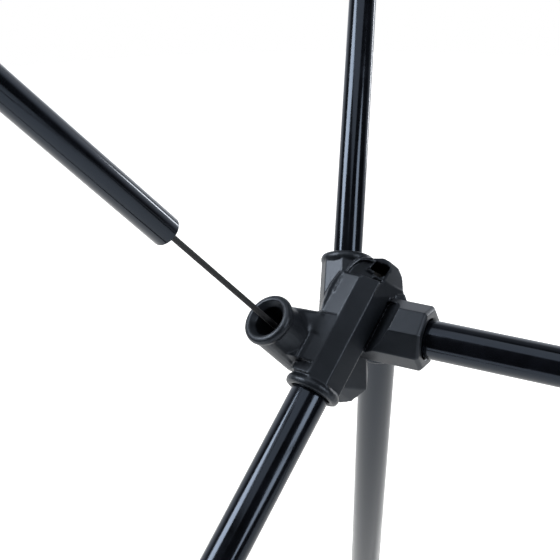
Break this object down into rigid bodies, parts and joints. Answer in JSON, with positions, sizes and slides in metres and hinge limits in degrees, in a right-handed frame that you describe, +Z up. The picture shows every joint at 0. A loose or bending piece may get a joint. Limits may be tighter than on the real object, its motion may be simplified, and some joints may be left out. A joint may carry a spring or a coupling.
{
  "type": "folding pole frame",
  "caption": "Folding stand of glossy black tubes in two moulded hubs joined by a crossbar; posts and legs plug into sockets on elastic cords, and one post is drawn out.",
  "frame": {"origin": "middle of the bounding box, on the ground", "axes": "+X along the crossbar from the left hub to the right hub, +Y to the back, +Z up"},
  "size_m": [0.6358, 0.5556, 0.5594],
  "materials": {
    "hub_nylon": "matt fine-grained moulded nylon, dark slate grey",
    "tube_black": "glossy black anodised",
    "cord_black": "braided sleeve, matt dark grey",
    "foot_rubber": "matt black"
  },
  "bodies": {
    "left_frame": {"left_hub": "hub_nylon", "left_cord_anchor": "foot_rubber", "left_crossbar_cord": "cord_black", "left_front_post_cord": "cord_black", "left_rear_post_cord": "cord_black", "left_front_leg_cord": "cord_black", "left_rear_leg_cord": "cord_black"},
    "right_frame": {"right_hub": "hub_nylon", "right_cord_anchor": "foot_rubber", "right_crossbar_cord": "cord_black", "right_front_post_cord": "cord_black", "right_rear_post_cord": "cord_black", "right_front_leg_cord": "cord_black", "right_rear_leg_cord": "cord_black"},
    "crossbar": {"crossbar": "tube_black"},
    "left_front_post": {"left_front_post": "tube_black", "left_front_post_tip": "hub_nylon"},
    "left_rear_post": {"left_rear_post": "tube_black", "left_rear_post_tip": "hub_nylon"},
    "left_front_leg": {"left_front_leg": "tube_black", "left_front_leg_foot": "foot_rubber"},
    "left_rear_leg": {"left_rear_leg": "tube_black", "left_rear_leg_foot": "foot_rubber"},
    "right_front_post": {"right_front_post": "tube_black", "right_front_post_tip": "hub_nylon"},
    "right_rear_post": {"right_rear_post": "tube_black", "right_rear_post_tip": "hub_nylon"},
    "right_front_leg": {"right_front_leg": "tube_black", "right_front_leg_foot": "foot_rubber"},
    "right_rear_leg": {"right_rear_leg": "tube_black", "right_rear_leg_foot": "foot_rubber"}
  },
  "joints": [
    {"name": "crossbar_slide", "type": "slide", "parent": "left_frame", "child": "crossbar", "axis": [1, 0, 0], "range_m": [0, 0.04], "stiffness_N_per_m": 20, "springref_m": -0.06},
    {"name": "right_hub_slide", "type": "slide", "parent": "crossbar", "child": "right_frame", "axis": [1, 0, 0], "range_m": [0, 0.04], "stiffness_N_per_m": 20, "springref_m": -0.06},
    {"name": "left_front_post_slide", "type": "slide", "parent": "left_frame", "child": "left_front_post", "axis": [-0.314, -0.6898, 0.6523], "range_m": [-0.085, 0.01], "deforming": ["left_front_post_cord"]},
    {"name": "left_rear_post_slide", "type": "slide", "parent": "left_frame", "child": "left_rear_post", "axis": [-0.2164, 0.5028, 0.8368], "range_m": [0, 0.085], "stiffness_N_per_m": 20, "springref_m": -0.06},
    {"name": "left_front_leg_slide", "type": "slide", "parent": "left_frame", "child": "left_front_leg", "axis": [-0.165, -0.634, -0.7555], "range_m": [0, 0.085], "stiffness_N_per_m": 20, "springref_m": -0.06},
    {"name": "left_rear_leg_slide", "type": "slide", "parent": "left_frame", "child": "left_rear_leg", "axis": [-0.2079, 0.5955, -0.776], "range_m": [0, 0.085], "stiffness_N_per_m": 20, "springref_m": -0.06},
    {"name": "right_front_post_slide", "type": "slide", "parent": "right_frame", "child": "right_front_post", "axis": [0.314, -0.6898, 0.6523], "range_m": [0, 0.085], "stiffness_N_per_m": 20, "springref_m": -0.06},
    {"name": "right_rear_post_slide", "type": "slide", "parent": "right_frame", "child": "right_rear_post", "axis": [0.2164, 0.5028, 0.8368], "range_m": [0, 0.085], "stiffness_N_per_m": 20, "springref_m": -0.06},
    {"name": "right_front_leg_slide", "type": "slide", "parent": "right_frame", "child": "right_front_leg", "axis": [0.165, -0.634, -0.7555], "range_m": [0, 0.085], "stiffness_N_per_m": 20, "springref_m": -0.06},
    {"name": "right_rear_leg_slide", "type": "slide", "parent": "right_frame", "child": "right_rear_leg", "axis": [0.2079, 0.5955, -0.776], "range_m": [0, 0.085], "stiffness_N_per_m": 20, "springref_m": -0.06}
  ]
}
